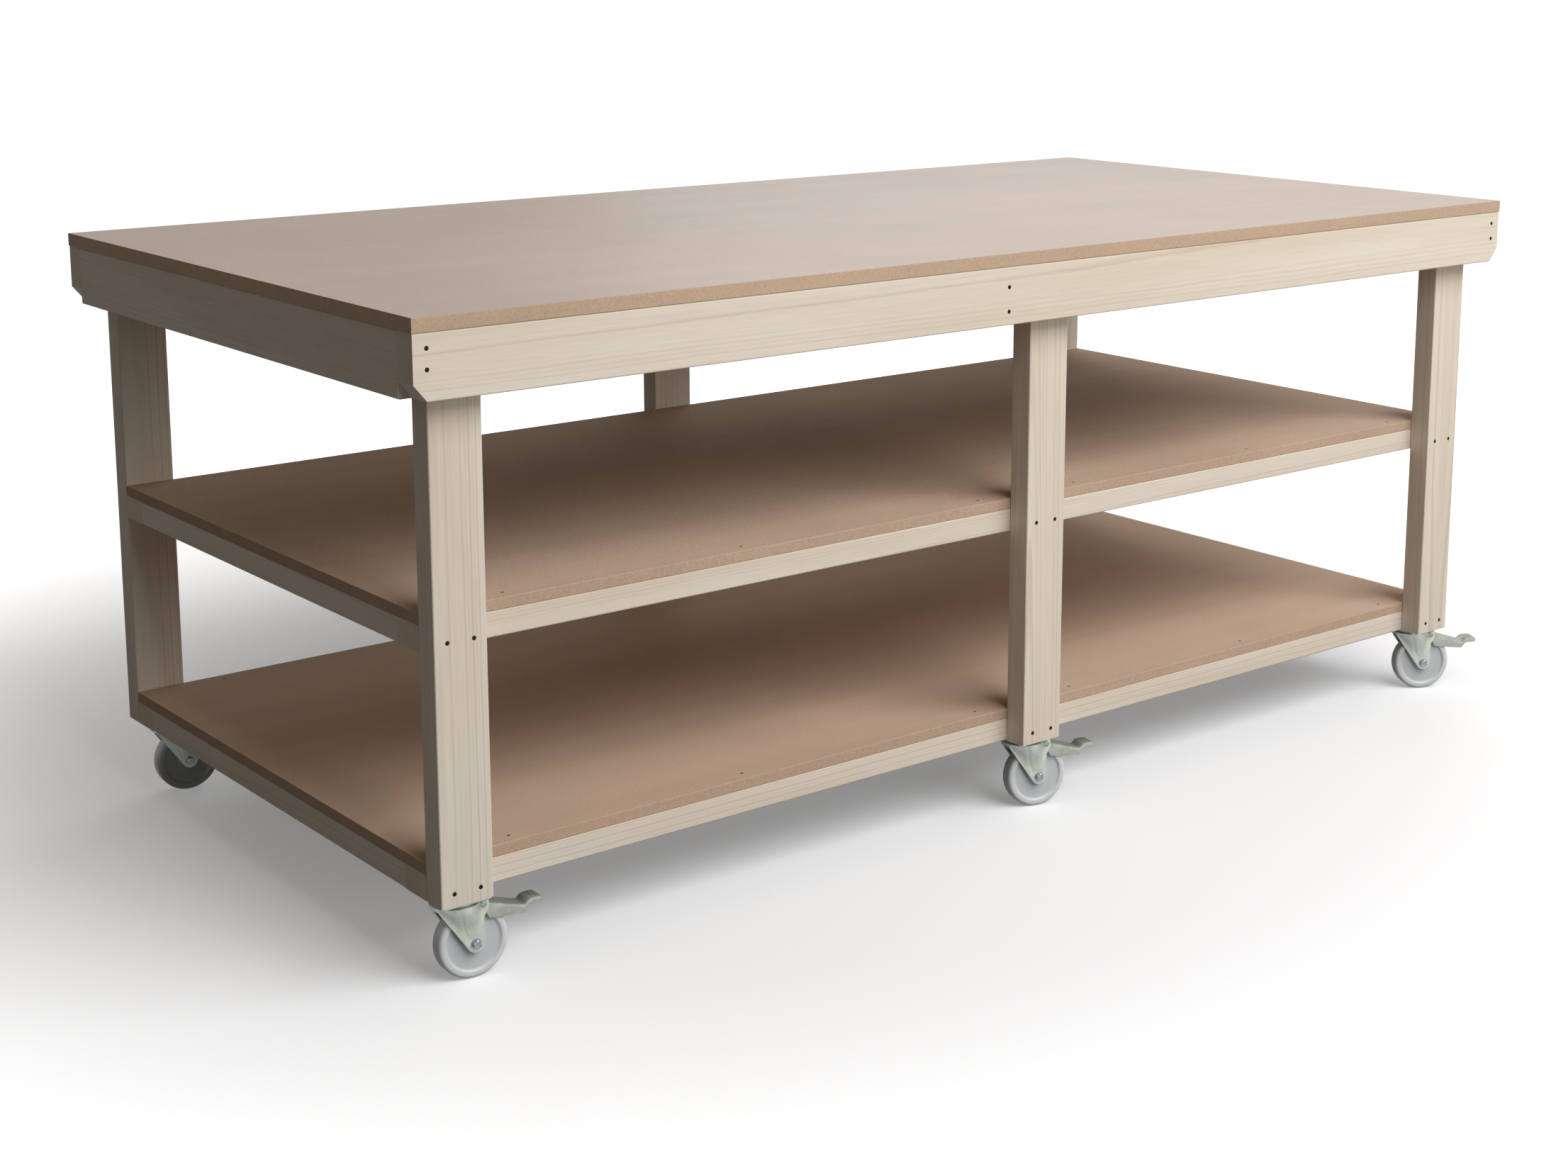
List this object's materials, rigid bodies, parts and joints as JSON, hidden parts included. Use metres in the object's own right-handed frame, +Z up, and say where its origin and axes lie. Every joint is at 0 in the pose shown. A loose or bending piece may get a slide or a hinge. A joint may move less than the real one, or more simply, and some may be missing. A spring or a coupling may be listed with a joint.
{
  "type": "assembly table",
  "caption": "Mobile workshop assembly table: an MDF worktop on a softwood frame with full-length shelves below, on braked swivel casters.",
  "frame": {"origin": "on the floor, under the middle of the bounding box, which one pedal at the right end widens", "axes": "+Z up, +X along the table's length to the right seen from the front, -Y towards the front long side"},
  "size_m": [2.4862, 1.22, 1.016],
  "materials": {
    "softwood": "planed pale softwood, unfinished",
    "mdf": "raw medium-density fibreboard",
    "zinc_plate": "pressed steel, zinc plated, dull",
    "bolt_steel": "bright zinc-plated bolt",
    "nylon": "natural white nylon, satin"
  },
  "bodies": {
    "table": {"top_front_rail": "softwood", "top_back_rail": "softwood", "top_left_rail": "softwood", "top_middle_rail": "softwood", "top_right_rail": "softwood", "leg_front_left": "softwood", "leg_front_middle": "softwood", "leg_front_right": "softwood", "leg_back_left": "softwood", "leg_back_middle": "softwood", "leg_back_right": "softwood", "lower_shelf_front_rail": "softwood", "lower_shelf_back_rail": "softwood", "lower_shelf_left_rail": "softwood", "lower_shelf_middle_rail": "softwood", "lower_shelf_right_rail": "softwood", "middle_shelf_front_rail": "softwood", "middle_shelf_back_rail": "softwood", "middle_shelf_left_rail": "softwood", "middle_shelf_middle_rail": "softwood", "middle_shelf_right_rail": "softwood", "top_board": "mdf", "lower_shelf_board": "mdf", "middle_shelf_board": "mdf", "caster_front_left_plate": "zinc_plate", "caster_front_left_kingpin": "zinc_plate", "caster_front_middle_plate": "zinc_plate", "caster_front_middle_kingpin": "zinc_plate", "caster_front_right_plate": "zinc_plate", "caster_front_right_kingpin": "zinc_plate", "caster_back_left_plate": "zinc_plate", "caster_back_left_kingpin": "zinc_plate", "caster_back_middle_plate": "zinc_plate", "caster_back_middle_kingpin": "zinc_plate", "caster_back_right_plate": "zinc_plate", "caster_back_right_kingpin": "zinc_plate"},
    "fork_front_left": {"caster_front_left_fork": "zinc_plate", "caster_front_left_axle": "bolt_steel"},
    "wheel_front_left": {"caster_front_left_wheel": "nylon"},
    "brake_front_left": {"caster_front_left_brake_pedal": "zinc_plate"},
    "fork_front_middle": {"caster_front_middle_fork": "zinc_plate", "caster_front_middle_axle": "bolt_steel"},
    "wheel_front_middle": {"caster_front_middle_wheel": "nylon"},
    "brake_front_middle": {"caster_front_middle_brake_pedal": "zinc_plate"},
    "fork_front_right": {"caster_front_right_fork": "zinc_plate", "caster_front_right_axle": "bolt_steel"},
    "wheel_front_right": {"caster_front_right_wheel": "nylon"},
    "brake_front_right": {"caster_front_right_brake_pedal": "zinc_plate"},
    "fork_back_left": {"caster_back_left_fork": "zinc_plate", "caster_back_left_axle": "bolt_steel"},
    "wheel_back_left": {"caster_back_left_wheel": "nylon"},
    "brake_back_left": {"caster_back_left_brake_pedal": "zinc_plate"},
    "fork_back_middle": {"caster_back_middle_fork": "zinc_plate", "caster_back_middle_axle": "bolt_steel"},
    "wheel_back_middle": {"caster_back_middle_wheel": "nylon"},
    "brake_back_middle": {"caster_back_middle_brake_pedal": "zinc_plate"},
    "fork_back_right": {"caster_back_right_fork": "zinc_plate", "caster_back_right_axle": "bolt_steel"},
    "wheel_back_right": {"caster_back_right_wheel": "nylon"},
    "brake_back_right": {"caster_back_right_brake_pedal": "zinc_plate"}
  },
  "joints": [
    {"name": "swivel_front_left", "type": "hinge", "parent": "table", "child": "fork_front_left", "pos_m": [-1.153, -0.521, 0.121], "axis": [0, 0, 1], "continuous": true},
    {"name": "roll_front_left", "type": "hinge", "parent": "fork_front_left", "child": "wheel_front_left", "pos_m": [-1.12906, -0.52267, 0.057], "axis": [0.0698, 0.9976, 0], "continuous": true},
    {"name": "pedal_front_left", "type": "hinge", "parent": "fork_front_left", "child": "brake_front_left", "pos_m": [-1.11609, -0.52358, 0.117], "axis": [0.0698, 0.9976, 0], "range_deg": [0, 6]},
    {"name": "swivel_front_middle", "type": "hinge", "parent": "table", "child": "fork_front_middle", "pos_m": [0.007, -0.513, 0.121], "axis": [0, 0, 1], "continuous": true},
    {"name": "roll_front_middle", "type": "hinge", "parent": "fork_front_middle", "child": "wheel_front_middle", "pos_m": [0.03018, -0.51921, 0.057], "axis": [0.2588, 0.9659, 0], "continuous": true},
    {"name": "pedal_front_middle", "type": "hinge", "parent": "fork_front_middle", "child": "brake_front_middle", "pos_m": [0.04274, -0.52258, 0.117], "axis": [0.2588, 0.9659, 0], "range_deg": [0, 6]},
    {"name": "swivel_front_right", "type": "hinge", "parent": "table", "child": "fork_front_right", "pos_m": [1.111, -0.507, 0.121], "axis": [0, 0, 1], "continuous": true},
    {"name": "roll_front_right", "type": "hinge", "parent": "fork_front_right", "child": "wheel_front_right", "pos_m": [1.13179, -0.519, 0.057], "axis": [0.5, 0.866, 0], "continuous": true},
    {"name": "pedal_front_right", "type": "hinge", "parent": "fork_front_right", "child": "brake_front_right", "pos_m": [1.14304, -0.5255, 0.117], "axis": [0.5, 0.866, 0], "range_deg": [0, 6]},
    {"name": "swivel_back_left", "type": "hinge", "parent": "table", "child": "fork_back_left", "pos_m": [-1.145, 0.505, 0.121], "axis": [0, 0, 1], "continuous": true},
    {"name": "roll_back_left", "type": "hinge", "parent": "fork_back_left", "child": "wheel_back_left", "pos_m": [-1.12106, 0.50333, 0.057], "axis": [0.0698, 0.9976, 0], "continuous": true},
    {"name": "pedal_back_left", "type": "hinge", "parent": "fork_back_left", "child": "brake_back_left", "pos_m": [-1.10809, 0.50242, 0.117], "axis": [0.0698, 0.9976, 0], "range_deg": [0, 6]},
    {"name": "swivel_back_middle", "type": "hinge", "parent": "table", "child": "fork_back_middle", "pos_m": [-0.02, 0.505, 0.121], "axis": [0, 0, 1], "continuous": true},
    {"name": "roll_back_middle", "type": "hinge", "parent": "fork_back_middle", "child": "wheel_back_middle", "pos_m": [0.00364, 0.50083, 0.057], "axis": [0.1736, 0.9848, 0], "continuous": true},
    {"name": "pedal_back_middle", "type": "hinge", "parent": "fork_back_middle", "child": "brake_back_middle", "pos_m": [0.01644, 0.49857, 0.117], "axis": [0.1736, 0.9848, 0], "range_deg": [0, 6]},
    {"name": "swivel_back_right", "type": "hinge", "parent": "table", "child": "fork_back_right", "pos_m": [1.107, 0.505, 0.121], "axis": [0, 0, 1], "continuous": true},
    {"name": "roll_back_right", "type": "hinge", "parent": "fork_back_right", "child": "wheel_back_right", "pos_m": [1.12983, 0.49758, 0.057], "axis": [0.309, 0.9511, 0], "continuous": true},
    {"name": "pedal_back_right", "type": "hinge", "parent": "fork_back_right", "child": "brake_back_right", "pos_m": [1.14219, 0.49357, 0.117], "axis": [0.309, 0.9511, 0], "range_deg": [0, 6]}
  ]
}
